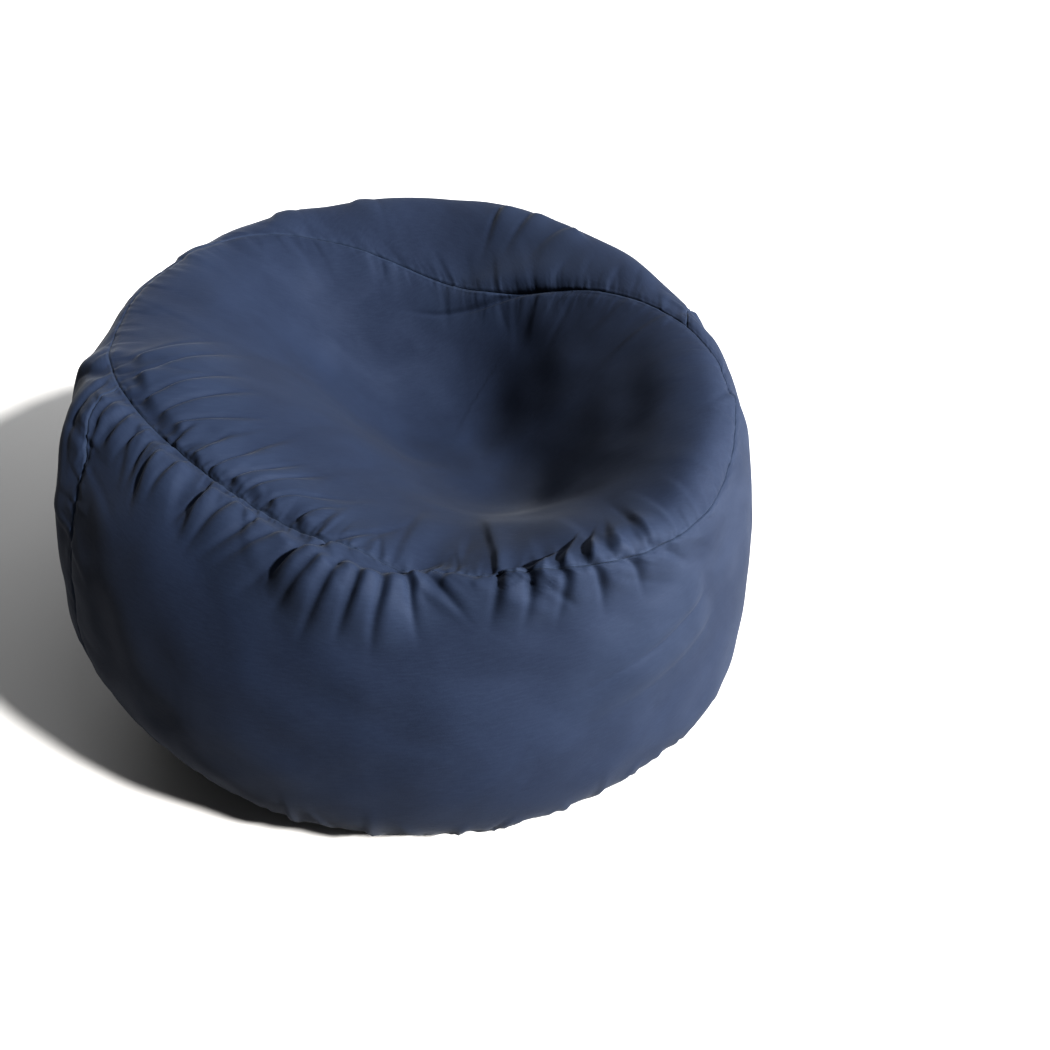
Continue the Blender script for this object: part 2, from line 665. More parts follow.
def bridge(lower, upper, closed):
    """Faces between two rows of vertex numbers; one row may have twice the spans of the other."""
    spans = [len(row) - (not closed) for row in (lower, upper)]
    count = min(spans)
    faces = []
    for span in range(count):
        below = [lower[(span * (spans[0] // count) + i) % len(lower)] for i in range(spans[0] // count + 1)]
        above = [upper[(span * (spans[1] // count) + i) % len(upper)] for i in range(spans[1] // count + 1)]
        faces.append(list(dict.fromkeys(below + above[::-1])))
    return faces


def row_faces(numbers):
    """Faces between closed rows of vertex numbers, from the first row to the last."""
    faces = []
    for low, high in zip(numbers, numbers[1:]):
        faces += [face for face in bridge(low, high, True) if len(face) > 2]
    return faces


def number_rows(rows, start):
    """Vertex numbers of each row; a row that is one point has one number throughout."""
    numbers, points = [], []
    for row in rows:
        if len(row) > 1 and np.ptp(row[:, :3], axis=0).max() < SAME_POINT:
            numbers.append([start] * len(row))
            points.append(row[:1])
        else:
            numbers.append(list(range(start, start + len(row))))
            points.append(row)
        start += len(points[-1])
    return numbers, np.vstack(points), start


def cloth_mesh(name, outer, inner, closed):
    """A closed mesh of cloth between outer rows and inner rows; the inner ones may be coarser."""
    outer_numbers, outer_points, start = number_rows(outer, 0)
    inner_numbers, inner_points, _ = number_rows(inner, start)
    faces = []
    for numbers, flip in ((outer_numbers, False), (inner_numbers, True)):
        for low, high in zip(numbers, numbers[1:]):
            made = bridge(low, high, closed)
            faces += [face[::-1] for face in made] if flip else made
    faces += [face[::-1] for face in bridge(outer_numbers[0], inner_numbers[0], closed)]
    if len(set(outer_numbers[-1])) > 1:
        faces += bridge(outer_numbers[-1], inner_numbers[-1], closed)
    if not closed:
        for end, flip in ((0, False), (-1, True)):
            made = bridge([row[end] for row in outer_numbers], [row[end] for row in inner_numbers], False)
            faces += [face[::-1] for face in made] if flip else made
    faces = [face for face in faces if len(face) > 2]
    return new_mesh_object(name, np.vstack([outer_points, inner_points]), faces)


def new_mesh_object(name, points, faces):
    """A smooth mesh. Columns after x, y and z are the cloth data: place on the flat cut, fold and edge."""
    mesh = bpy.data.meshes.new(name)
    mesh.from_pydata(points[:, :3].tolist(), [], faces)
    mesh.shade_smooth()
    if points.shape[1] > 3:
        flat = np.column_stack([points[:, 3:5], np.zeros(len(points))])
        mesh.attributes.new("cut", "FLOAT_VECTOR", "POINT").data.foreach_set("vector", flat.ravel())
        for column, word in ((5, "fold"), (6, "edge")):
            values = np.ascontiguousarray(points[:, column])
            mesh.attributes.new(word, "FLOAT", "POINT").data.foreach_set("value", values)
    return add_object(name, mesh)


def add_object(name, data):
    obj = bpy.data.objects.new(name, data)
    bpy.context.scene.collection.objects.link(obj)
    return obj


def row_normals(points, closed):
    """Outward normals of a grid of points, rows upwards and columns anticlockwise from above."""
    if closed:
        wrapped = np.concatenate([points[:, -1:], points, points[:, :1]], axis=1)
        round_step = wrapped[:, 2:] - wrapped[:, :-2]
    else:
        round_step = np.gradient(points, axis=1)
    return unit(np.cross(round_step, np.gradient(points, axis=0)))


# ---------------------------------------------------------------- cloth simulation

SETTLE_FRAMES = 16
SLACK_AT_RING, SLACK_REACH = 0.07, 0.16
SLACK_EVERYWHERE, SLACK_FADE = 0.025, 0.3
HOLD, FOOT_HOLD = 0.42, 0.03
SEAM_HOLD_REACH = 0.006
MOST_SETTLING = 0.016
# Rough metres per unit of rise and per turn
RISE_LENGTH, TURN_LENGTH = 0.65, 4.0
# Last seat row, counted from the ring seam, at which the simulated mesh has each column step
GRID_STEP_ENDS = ((34, 1), (52, 2), (62, 4))
WIDEST_GRID_STEP = 8
CLOTH_SETTINGS = {
    "quality": 5,
    "mass": 0.25,
    "tension_stiffness": 12.0,
    "compression_stiffness": 12.0,
    "shear_stiffness": 4.0,
    "bending_stiffness": 0.35,
    "air_damping": 3.0,
    "vertex_group_mass": "held",
    "pin_stiffness": 1.0,
    "use_pressure": True,
    "uniform_pressure_force": 1.0,
}


def grid_column_step(row):
    """How many grid columns one column of the simulated mesh covers: more towards the hollow's middle."""
    for end, step in GRID_STEP_ENDS:
        if row - SIDE_CELLS < end:
            return step
    return WIDEST_GRID_STEP


def settled_grid(grid):
    """The grid after its cloth, cut with some slack along the seams, has settled on the foam."""
    steps = [grid_column_step(row) for row in range(len(grid) - 1)]
    numbers, points, _ = number_rows([grid[row][::step] for row, step in enumerate(steps)], 0)
    turn, rise = grid_places()
    places = [(turn[row, ::step], rise[row, ::step]) for row, step in enumerate(steps)]
    hold = np.concatenate([hold_weights(*place) for place in places])
    slack = np.concatenate([slack_at(row_rise) for _, row_rise in places])
    skin = new_mesh_object("settling_skin", points, row_faces(numbers))
    moved = settled_points(skin, points, hold, slack) - points
    length = np.linalg.norm(moved, axis=1, keepdims=True)
    moved *= MOST_SETTLING / np.maximum(MOST_SETTLING, length)
    settled_rows = grid.copy()
    for row, (step, ids) in enumerate(zip(steps, numbers)):
        columns = np.arange(TURN_CELLS) / step
        left = np.floor(columns).astype(int)
        ids = np.array(ids)
        for offset, weight in enumerate(cubic_weights((columns - left)[:, None])):
            settled_rows[row] += weight * moved[ids[(left + offset - 1) % len(ids)]]
    return settled_rows


def settled_points(skin, points, hold, slack):
    """Where the skin's points lie after the cloth simulation; the skin is removed."""
    group = skin.vertex_groups.new(name="held")
    for vertex, weight in enumerate(hold):
        group.add([vertex], float(weight), "REPLACE")
    cut_points = points.copy()
    cut_points[:, :2] *= (1.0 + slack)[:, None]
    skin.shape_key_add(name="Basis")
    cut = skin.shape_key_add(name="cut")
    cut.data.foreach_set("co", cut_points.ravel())
    cloth = skin.modifiers.new("cloth", "CLOTH")
    for name, value in CLOTH_SETTINGS.items():
        setattr(cloth.settings, name, value)
    cloth.settings.rest_shape_key = cut
    cloth.settings.effector_weights.gravity = 0.0
    cloth.point_cache.frame_end = SETTLE_FRAMES
    for number in range(1, SETTLE_FRAMES + 1):
        bpy.context.scene.frame_set(number)
    evaluated = skin.evaluated_get(bpy.context.evaluated_depsgraph_get())
    settled = np.empty(points.size)
    evaluated.data.vertices.foreach_get("co", settled)
    bpy.data.objects.remove(skin)
    bpy.context.scene.frame_set(1)
    return settled.reshape(-1, 3)


def hold_weights(turn, rise):
    """How firmly the foam and the seams hold each point: wholly on the seams and at the foot."""
    ring = np.abs(rise - 1.0) * RISE_LENGTH < SEAM_HOLD_REACH
    side = (to_side_seam(turn) * TURN_LENGTH < SEAM_HOLD_REACH) & (rise < 1.0)
    return np.where(ring | side | (rise < FOOT_HOLD), 1.0, HOLD)


def to_side_seam(turn):
    """The share of a turn to the nearer side seam."""
    return np.minimum(turn % 0.5, 0.5 - turn % 0.5)


def slack_at(rise):
    """Extra length round the bag that the panels were cut with, most of it gathered at the ring seam."""
    away = np.abs(rise - 1.0) * RISE_LENGTH
    gathered = SLACK_AT_RING * np.exp(-((away / SLACK_REACH) ** 2))
    return (SLACK_EVERYWHERE + gathered) * ease(rise / SLACK_FADE)


# ---------------------------------------------------------------- layers of cloth and foam


@dataclass
class Layer:
    """One layer of the bag: its surface on the skin grid, its folds and how its panels are made.

    A band is (rows, column step, row spacing): bands run up the side and from the ring seam inwards.
    """

    name: str
    grid: np.ndarray
    folds: list
    base_folds: list
    foot_depth: float
    thickness: float
    edge_roll: float
    groove_depth: float
    columns: int
    side_bands: tuple
    seat_bands: tuple
    inner_step: int


GROOVE_WIDTH = 0.010
SEAM_RIDGE, SEAM_RIDGE_PLACE, SEAM_RIDGE_WIDTH = 0.0011, 0.0045, 0.0026
EDGE_STEPS = (0.0, 0.00005, 0.0004, 0.0010, 0.0019, 0.0031, 0.0047, 0.0070, 0.0100)
TURNED_IN = 0.005
PANEL_GAP = 0.00015
FOOT_ROWS = 8
FOOT_FADE = 0.12
POLE_FADE = 0.05
FULL_FOLD, EDGE_WEAR_WIDTH = 0.006, 0.004
BASE_BANDS = ((12, 1), (4, 2), (4, 4), (4, 8))
BASE_EDGE_ROUND = 0.0055
ROUND_ROWS = 6


def column_steps(bands):
    """The column step of every row span."""
    return np.repeat([band[1] for band in bands], [band[0] for band in bands])


def row_spans(bands):
    """The relative height of every row span."""
    return np.repeat([band[2] for band in bands], [band[0] for band in bands]).astype(float)


def spaced(spans, lengths, ends):
    """Shares 0 to 1 of each length, in steps like the spans, closer together at the ends that are named."""
    near = (PANEL_GAP + np.array(EDGE_STEPS))[:, None] / lengths[None, :]
    first = near if ends in ("first", "both") else np.zeros((1, len(lengths)))
    last = 1.0 - near[::-1] if ends in ("last", "both") else np.ones((1, len(lengths)))
    middle = np.cumsum(spans[len(first) - 1 : len(spans) + 1 - len(last)])
    middle = first[-1] + (middle[:-1, None] / middle[-1]) * (last[0] - first[-1])
    return np.vstack([first, middle, last])


def path_length(turns, rises, axis):
    """Length of each line on the form: up each column (axis 0) or round each row (axis 1)."""
    points, _ = skin_form(*np.meshgrid(turns, rises))
    return np.linalg.norm(np.diff(points, axis=axis), axis=-1).sum(axis=axis)


def seam_relief(distance, layer):
    """Height near a seam: a shallow groove, a low ridge over the turned-in cloth, and the edge rolled in."""
    roll = np.clip(1.0 - distance / layer.edge_roll, 0.0, 1.0)
    rolled = layer.edge_roll * (1.0 - np.sqrt(1.0 - roll**2))
    turned_in = TURNED_IN * (distance < PANEL_GAP + EDGE_STEPS[1] / 2)
    groove = layer.groove_depth * np.exp(-((distance / GROOVE_WIDTH) ** 2))
    ridge = SEAM_RIDGE * np.exp(-(((distance - SEAM_RIDGE_PLACE) / SEAM_RIDGE_WIDTH) ** 2))
    return ridge - rolled - turned_in - groove


def seam_wear(distance):
    return np.exp(-((distance / EDGE_WEAR_WIDTH) ** 2))


def zip_gap(layer_name, angles):
    """Half of the base seam's gap: a slot along the layer's zip, a thread's width elsewhere."""
    middle, half = zip_span(layer_name)
    away = np.abs((angles - middle + math.pi) % math.tau - math.pi)
    return np.where(away < half + ZIP_SPAN_MARGIN, SLOT_HALF_WIDTH, PANEL_GAP)


def with_cloth_data(points, cut, fold, edge):
    """Points with their place on the flat cut, their fold height and their nearness to a seam."""
    data = [cut[0], cut[1], np.clip(fold / FULL_FOLD, -1.0, 1.0), edge]
    return np.concatenate([points, np.stack(np.broadcast_arrays(*data), axis=-1)], axis=-1)


def cloth_faces(points, normals, relief, inner_relief, data):
    """Outer and inner points of a panel, both with the cloth data."""
    outer = with_cloth_data(points + normals * relief[..., None], *data)
    inner = outer.copy()
    inner[..., :3] = points + normals * inner_relief[..., None]
    return outer, inner


def foot_rows(layer, turn, to_side):
    """Outer and inner rows from the side panel's edge at the base seam up to the foot's top."""
    angles = skin_angle(turn, 0.0)
    edge = foot_station(zip_gap(layer.name, angles))
    shares = (np.linspace(0.0, 1.0, FOOT_ROWS, endpoint=False) ** 1.5)[:, None]
    stations = edge + (FOOT_TOP - edge) * shares
    form, normals = form_and_normals(np.broadcast_to(angles, stations.shape), stations)
    up = (stations - edge) * FOOT_HEIGHT / foot_direction()[0].y
    folds = relief_of(layer.base_folds, form)
    relief = folds + seam_relief(to_side, layer) - layer.foot_depth
    relief -= layer.edge_roll * (1.0 - ease(up / layer.edge_roll)) + TURNED_IN * (up <= 0.0)
    data = ((angles * FOOT_RADIUS, up - FOOT_HEIGHT), folds, seam_wear(up))
    return cloth_faces(form, normals, relief, relief - layer.thickness, data)


def side_panel(layer, first_turn):
    """Outer and inner points of the front or back panel."""
    spans = row_spans(layer.side_bands)
    columns = layer.columns // 2
    turns = np.linspace(first_turn, first_turn + 0.5, columns + 1)
    heights = path_length(turns, np.linspace(0.0, 1.0, 41), 0)
    rise = spaced(spans, heights, "last")
    widths = path_length(turns, rise.mean(axis=1), 1)
    turn = first_turn + 0.5 * spaced(np.ones(columns), widths, "both").T
    to_side = np.minimum(turn - first_turn, first_turn + 0.5 - turn) * 2.0 * widths[:, None]
    to_ring = (1.0 - rise) * heights
    form, _ = skin_form(turn, rise)
    points = sample_grid(layer.grid, turn, rise)
    folds = relief_of(layer.folds, form) * ease(rise / FOOT_FADE) + relief_of(layer.base_folds, form)
    relief = folds + seam_relief(to_ring, layer) + seam_relief(to_side, layer)
    normals = row_normals(points, False)
    cut = ((turn - first_turn) * 2.0 * widths.max(), rise * heights)
    data = (cut, folds, np.maximum(seam_wear(to_side), seam_wear(to_ring)))
    inner_relief = under_relief(relief, layer) - layer.thickness
    outer, inner = cloth_faces(points, normals, relief, inner_relief, data)
    foot_outer, foot_inner = foot_rows(layer, turn[0], to_side[0])
    return np.concatenate([foot_outer, outer]), np.concatenate([foot_inner, inner])


def seat_panel(layer):
    """Outer and inner points of the seat panel, all rows with the same number of columns."""
    spans = row_spans(layer.seat_bands)
    turns = np.arange(layer.columns) / layer.columns
    lengths = path_length(turns, np.linspace(1.0, 2.0, 61), 0)
    share = spaced(spans, lengths, "first")
    turn, rise = np.broadcast_to(turns, share.shape), 1.0 + share
    form, _ = skin_form(turn, rise)
    points = sample_grid(layer.grid, turn, rise)
    folds = relief_of(layer.folds, form)
    relief = (folds + seam_relief(share * lengths, layer)) * ease((1.0 - share) / POLE_FADE)
    normals = row_normals(points, True)
    reach = (1.0 - share) * lengths
    cut = (reach * np.cos(turn * math.tau), reach * np.sin(turn * math.tau))
    inner_relief = under_relief(relief, layer) - layer.thickness
    data = (cut, folds, seam_wear(share * lengths))
    outer, inner = cloth_faces(points, normals, relief, inner_relief, data)
    for rows in (outer, inner):
        rows[-1] = rows[-1].mean(axis=0)
    return outer, inner


def base_panel(layer):
    """Outer and inner points of the base, from the base seam down the foot and in to the centre."""
    up, out = foot_direction()
    depth = layer.foot_depth
    turns = -np.arange(layer.columns) / layer.columns
    angles = LEFT_SEAM_ANGLE + turns * math.tau
    gap = zip_gap(layer.name, angles)
    count = sum(band[0] for band in BASE_BANDS) + 1
    edge = np.array([seam_place(-step, -depth) for step in gap])
    corner = Vector((BASE_RADIUS, 0.0)) - out * depth
    corner += up * ((depth - corner.y) / up.y)
    above, inside = corner + up * BASE_EDGE_ROUND, corner - Vector((BASE_EDGE_ROUND, 0.0))
    rows = []
    cone_rows = BASE_BANDS[0][0] - ROUND_ROWS
    for share in np.linspace(0.0, 1.0, cone_rows, endpoint=False):
        rows.append(edge + (np.array(above) - edge) * share**1.5)
    for share in np.linspace(0.0, 1.0, ROUND_ROWS, endpoint=False):
        place = above.lerp(corner, share).lerp(corner.lerp(inside, share), share)
        rows.append(np.tile(place, (len(turns), 1)))
    for share in np.linspace(1.0, 0.0, count - len(rows)):
        rows.append(np.tile((inside.x * share, depth), (len(turns), 1)))
    profile = np.array(rows)
    away, height = profile[..., 0], profile[..., 1]
    points = np.stack([away * np.cos(angles), away * np.sin(angles), height], axis=-1)
    normals = row_normals(points, True)
    normals[-1] = (0.0, 0.0, -1.0)
    down = np.linalg.norm(profile - profile[0], axis=-1)
    relief = -layer.edge_roll * (1.0 - ease(down / layer.edge_roll)) - TURNED_IN * (down <= 0.0)
    data = ((points[..., 0], points[..., 1]), 0.0, seam_wear(down))
    return cloth_faces(points, normals, relief, relief - layer.thickness, data)


def under_relief(relief, layer):
    """Relief of a panel's inner face, low enough to stay inside the outer one's creases."""
    return lowest_nearby(relief, layer.inner_step, layer.inner_step)


def cloth_from_rows(name, panel, closed, steps, inner_step):
    """Cloth from outer and inner rows; a column step halves the columns for each doubling."""
    outer, inner = panel
    steps = np.append(steps, steps[-1])
    outer_rows = [row[::step] for row, step in zip(outer, steps)]
    inner_rows = [row[:: inner_step * step] for row, step in zip(inner[::inner_step], steps[::inner_step])]
    return cloth_mesh(name, outer_rows, inner_rows, closed)


def layer_panels(layer):
    """The four panels of a layer, by node name."""
    side_steps = np.concatenate([[layer.side_bands[0][1]] * FOOT_ROWS, column_steps(layer.side_bands)])
    panels = {
        "front": (side_panel(layer, 0.0), False, side_steps),
        "back": (side_panel(layer, 0.5), False, side_steps),
        "seat": (seat_panel(layer), True, column_steps(layer.seat_bands)),
        "base": (base_panel(layer), True, column_steps(BASE_BANDS)),
    }
    return {
        f"{layer.name}_{word}_panel": cloth_from_rows(f"{layer.name}_{word}_cloth", *made, layer.inner_step)
        for word, made in panels.items()
    }


def lowest_nearby(field, rows, columns):
    """The least value of a field within so many rows and columns, wrapping round the bag."""
    lowest = field.copy()
    for step in range(1, columns + 1):
        lowest = np.minimum(lowest, np.minimum(np.roll(field, step, axis=1), np.roll(field, -step, axis=1)))
    padded = np.pad(lowest, ((rows, rows), (0, 0)), mode="edge")
    return np.min([padded[i : i + len(field)] for i in range(2 * rows + 1)], axis=0)


def averaged(field, rows, columns):
    total = sum(np.roll(field, step, axis=1) for step in range(-columns, columns + 1)) / (2 * columns + 1)
    padded = np.pad(total, ((rows, rows), (0, 0)), mode="edge")
    return np.mean([padded[i : i + len(field)] for i in range(2 * rows + 1)], axis=0)


SMALL_CREASE, UNDER_WIDTH = 0.0015, 0.014


def crease_hollows(folds):
    """Each deep crease as a wide hollow, for the layers under the cover to follow."""
    hollows = []
    for fold in folds:
        depth = abs(fold.height) * (abs(fold.crease) if fold.crease else fold.height < 0)
        if depth > SMALL_CREASE:
            hollows.append(replace(fold, height=-depth, width=max(fold.width, UNDER_WIDTH), crease=0.0))
    return hollows


def under_grid(cover, depth, foot_depth):
    """The grid of a layer under the cover: clear of its deepest creases, and smoother."""
    form, normals = skin_grid()
    relief = np.einsum("rcs,rcs->rc", cover.grid - form, normals) - SMALL_CREASE
    relief += relief_of(crease_hollows(cover.folds), form)
    turn, rise = grid_places()
    relief += seam_relief(np.abs(rise - 1.0) * surface_scale(turn, np.minimum(rise, 1.99), (0, 1)), cover)
    around = surface_scale(turn, np.minimum(rise, 1.0), (1, 0))
    relief += seam_relief(to_side_seam(turn) * around, cover) * (rise <= 1.0)
    relief = averaged(lowest_nearby(relief, 2, 3), 2, 3)
    deep = depth_at(skin_station(turn, rise), foot_depth, depth)
    return form + normals * (relief * ease(rise / FOOT_FADE) - deep)[..., None]


# ---------------------------------------------------------------- foam

FOAM_COLUMNS = 576
FOAM_BASE_ROWS, FOAM_FOOT_ROWS = 16, 5
CRUMB_SIZE, CRUMB_DEPTH = 0.034, 0.0055
# Column step, up to which row of the base and within how many rows of the hollow's lowest point
FOAM_STEPS = ((8, FOAM_BASE_ROWS // 4, 8), (4, FOAM_BASE_ROWS // 2, 20), (2, FOAM_BASE_ROWS, 40))


def foam_body(cover):
    """The shredded foam as one closed body with a crumbly surface."""
    grid = under_grid(cover, FOAM_DEPTH, FOAM_FOOT_DEPTH)
    turns = np.arange(FOAM_COLUMNS) / FOAM_COLUMNS
    angles = skin_angle(turns, 0.0)
    up, out = foot_direction()
    corner = Vector((BASE_RADIUS, 0.0)) - out * FOAM_FOOT_DEPTH
    corner += up * ((FOAM_FOOT_DEPTH - corner.y) / up.y)
    top = Vector((FOOT_RADIUS, FOOT_HEIGHT)) - out * FOAM_FOOT_DEPTH
    profile = [Vector((corner.x * share, corner.y)) for share in np.linspace(0.0, 1.0, FOAM_BASE_ROWS)]
    profile += [corner.lerp(top, share) for share in np.linspace(0, 1, FOAM_FOOT_ROWS, endpoint=False)[1:]]
    lower = np.array([[(x * math.cos(a), x * math.sin(a), z) for a in angles] for x, z in profile])
    points = np.concatenate([lower, grid])
    normals = row_normals(points, True)
    normals[0] = (0.0, 0.0, -1.0)
    normals[-1] = (0.0, 0.0, 1.0)
    crumbs = np.array([crumb_relief(Vector(point)) for point in points.reshape(-1, 3)])
    points = points - normals * crumbs.reshape(points.shape[:-1])[..., None]
    points[0], points[-1] = points[0].mean(axis=0), points[-1].mean(axis=0)
    steps = [foam_column_step(row, len(points)) for row in range(len(points))]
    numbers, flat, _ = number_rows([row[::step] for row, step in zip(points, steps)], 0)
    return new_mesh_object("foam_crumbs", flat, row_faces(numbers))


def foam_column_step(row, count):
    """Fewer columns towards the middle of the base and of the hollow."""
    for step, base_rows, hollow_rows in FOAM_STEPS:
        if row < base_rows or row > count - hollow_rows:
            return step
    return 1


def crumb_relief(point):
    """Depth below the foam's envelope: rounded crumbs with cracks between them."""
    nearest, second = noise.voronoi(point / CRUMB_SIZE)[0][:2]
    crack = math.exp(-(((second - nearest) / 0.22) ** 2))
    return CRUMB_DEPTH * (0.75 * crack + 0.25 * min(1.0, nearest))


# ---------------------------------------------------------------- zips and label

LAYER_DEPTHS = {"cover": 0.0, "liner": LINER_FOOT_DEPTH}
COIL_PITCH, COIL_TURN_POINTS, COIL_SIDES = 0.0015, 9, 5
COIL_WIRE = 0.00034
COIL_ACROSS, COIL_DEEP, COIL_PLACE, COIL_NORMAL = 0.00125, 0.00105, 0.00172, -0.0010
COIL_END_MARGIN = math.radians(1.0)
STOP_LENGTH, STOP_ACROSS, STOP_LOW, STOP_HIGH = 0.003, 0.0076, -0.0022, 0.0008
STOP_RIBS, STOP_RIB_DEPTH = 3, 0.00035
SLIDER_LENGTH, SLIDER_WIDTH = 0.013, 0.0108
SLIDER_PLATES = ((0.0006, 0.0018), (-0.0049, -0.0040))
SLIDER_WAIST = 0.78
POST_WIDTH, POST_LENGTH = 0.0007, 0.006
FLANGE_WIDTH, FLANGE_LOW = 0.0008, -0.0021
BAIL_LENGTH, BAIL_WIDTH, BAIL_HEIGHT, BAIL_WIRE = 0.0072, 0.0020, 0.0022, 0.0005
END_CLEARANCE = 0.0003
LABEL_WIDTH, LABEL_LOW, LABEL_HIGH = 0.036, 0.0025, 0.033
LABEL_STAND_OFF, LABEL_THICKNESS, LABEL_CURL = 0.0012, 0.0006, 0.0035
LABEL_CELLS = (30, 26)
STITCH_LENGTH, STITCH_GAP, STITCH_RADIUS, STITCH_INSET = 0.0022, 0.0012, 0.00022, 0.0022


def zip_span(layer_name):
    """Middle angle and half angle of a layer's zip."""
    quarter = -math.pi / 2 if layer_name == "cover" else math.pi / 2
    return LEFT_SEAM_ANGLE + quarter, ZIP_HALF_ANGLE[layer_name]


def seam_frame(angle, normal):
    """Matrix whose X runs along the base seam, Y up the foot cone and Z out of it."""
    up, out = foot_direction()
    place = seam_place(0.0, normal)
    turn = Matrix(((0, 1, 0), (up.x, 0, up.y), (out.x, 0, out.y))).transposed().to_4x4()
    return Matrix.Rotation(angle, 4, "Z") @ Matrix.Translation((place.x, 0, place.y)) @ turn


def tube_mesh(name, path, radius, sides):
    """A round wire along a path, with capped ends."""
    tangents = unit(np.gradient(path, axis=0))
    across = unit(np.cross(tangents, (0.0, 0.0, 1.0)) + 1e-9)
    upward = np.cross(across, tangents)
    angles = np.arange(sides) / sides * math.tau
    rings = path[:, None] + radius * (
        np.cos(angles)[None, :, None] * across[:, None] + np.sin(angles)[None, :, None] * upward[:, None]
    )
    numbers, points, _ = number_rows(list(rings), 0)
    return new_mesh_object(name, points, row_faces(numbers) + [numbers[0][::-1], numbers[-1]])


def zip_coil(layer_name, word, side):
    """One toothed strand: a flattened helix of nylon wire along the base seam."""
    middle, half = zip_span(layer_name)
    reach = half - COIL_END_MARGIN
    radius = seam_place(0.0, 0.0).x
    turns = round(2 * reach * radius / COIL_PITCH)
    share = np.linspace(0.0, 1.0, turns * COIL_TURN_POINTS + 1)
    phase = share * turns * math.tau
    slant = side * (COIL_PLACE + (COIL_ACROSS - COIL_WIRE) * np.cos(phase))
    normal = COIL_NORMAL - LAYER_DEPTHS[layer_name] + (COIL_DEEP - COIL_WIRE) * np.sin(phase)
    up, out = foot_direction()
    seam = seam_place(0.0, 0.0)
    away, height = seam.x + up.x * slant + out.x * normal, seam.y + up.y * slant + out.y * normal
    angle = middle + (2 * share - 1) * reach
    path = np.column_stack([away * np.cos(angle), away * np.sin(angle), height])
    return tube_mesh(f"{layer_name}_{word}_teeth", path, COIL_WIRE, COIL_SIDES)


def bevelled(bm, width, segments=2):
    edges = [edge for edge in bm.edges if edge.calc_face_angle(0.0) > math.radians(30)]
    bmesh.ops.bevel(bm, geom=edges, offset=width, segments=segments, affect="EDGES", profile=0.6)


def prism(outline, low, high, bevel):
    """An upright bevelled prism on an outline, as its own bmesh."""
    bm = bmesh.new()
    rings = [[bm.verts.new((x, y, z)) for x, y in outline] for z in (low, high)]
    bm.faces.new(rings[0][::-1])
    bm.faces.new(rings[1])
    for i in range(len(outline)):
        j = (i + 1) % len(outline)
        bm.faces.new((rings[0][i], rings[0][j], rings[1][j], rings[1][i]))
    bmesh.ops.recalc_face_normals(bm, faces=bm.faces)
    bevelled(bm, bevel)
    return bm


def box_outline(length, width, centre=(0.0, 0.0)):
    x, y = length / 2, width / 2
    return [(centre[0] + i * x, centre[1] + j * y) for i, j in ((-1, -1), (1, -1), (1, 1), (-1, 1))]


def plate_outline():
    """A slider plate from above: wide shoulders, a waist towards the tail and a rounded nose."""
    length, width = SLIDER_LENGTH / 2, SLIDER_WIDTH / 2
    right = [(-length, SLIDER_WAIST * width * 0.9), (-0.35 * length, SLIDER_WAIST * width)]
    right += [(0.15 * length, width), (0.72 * length, width), (length, 0.62 * width)]
    return [(x, -y) for x, y in right] + [(x, y) for x, y in reversed(right)]


def joined_object(name, parts, matrix):
    """One object from several bmeshes, each its own closed body, placed by a matrix."""
    mesh = bpy.data.meshes.new(name)
    whole = bmesh.new()
    for part in parts:
        piece = bpy.data.meshes.new("part")
        part.to_mesh(piece)
        part.free()
        whole.from_mesh(piece)
        bpy.data.meshes.remove(piece)
    whole.transform(matrix)
    whole.to_mesh(mesh)
    whole.free()
    mesh.shade_smooth()
    mesh.set_sharp_from_angle(angle=math.radians(35))
    return add_object(name, mesh)


def zip_slider(layer_name):
    """A child-safe slider with its bail and no pull, at the closed end of its zip."""
    middle, half = zip_span(layer_name)
    depth = LAYER_DEPTHS[layer_name]
    radius = seam_place(0.0, -depth).x
    angle = middle + half - COIL_END_MARGIN - SLIDER_LENGTH / 2 / radius
    parts = [prism(plate_outline(), low, high, 0.0003) for low, high in SLIDER_PLATES]
    post_low, post_high = SLIDER_PLATES[1][1], SLIDER_PLATES[0][0]
    parts.append(prism(box_outline(POST_LENGTH, POST_WIDTH, (0.003, 0.0)), post_low, post_high, 0.0001))
    for side in (-1, 1):
        place = (0.22 * SLIDER_LENGTH, side * (SLIDER_WIDTH - FLANGE_WIDTH) / 2)
        outline = box_outline(0.5 * SLIDER_LENGTH, FLANGE_WIDTH, place)
        parts.append(prism(outline, FLANGE_LOW, post_high, 0.0002))
    parts.append(bail())
    return joined_object(f"{layer_name}_slider_body", parts, seam_frame(angle, -depth))


def bail():
    """The bent strap on top of a slider that a pull would hang from."""
    bm = bmesh.new()
    top = SLIDER_PLATES[0][1]
    rows = []
    for step in range(13):
        turn = math.pi * step / 12
        place = Vector((-math.cos(turn) * (BAIL_LENGTH / 2 - BAIL_WIRE), 0.0))
        height = top - 0.0002 + (BAIL_HEIGHT - BAIL_WIRE) * math.sin(turn) ** 0.6
        outward = Vector((-math.cos(turn), 0.0, math.sin(turn))) * BAIL_WIRE
        middle = Vector((place.x, 0.0, height))
        side = Vector((0.0, BAIL_WIDTH / 2, 0.0))
        corners = (-side - outward, side - outward, side + outward, outward - side)
        rows.append([bm.verts.new(middle + corner) for corner in corners])
    for low, high in zip(rows, rows[1:]):
        for i in range(4):
            bm.faces.new((low[i], low[(i + 1) % 4], high[(i + 1) % 4], high[i]))
    bm.faces.new(rows[0][::-1])
    bm.faces.new(rows[-1])
    bmesh.ops.recalc_face_normals(bm, faces=bm.faces)
    bevelled(bm, 0.00018)
    return bm


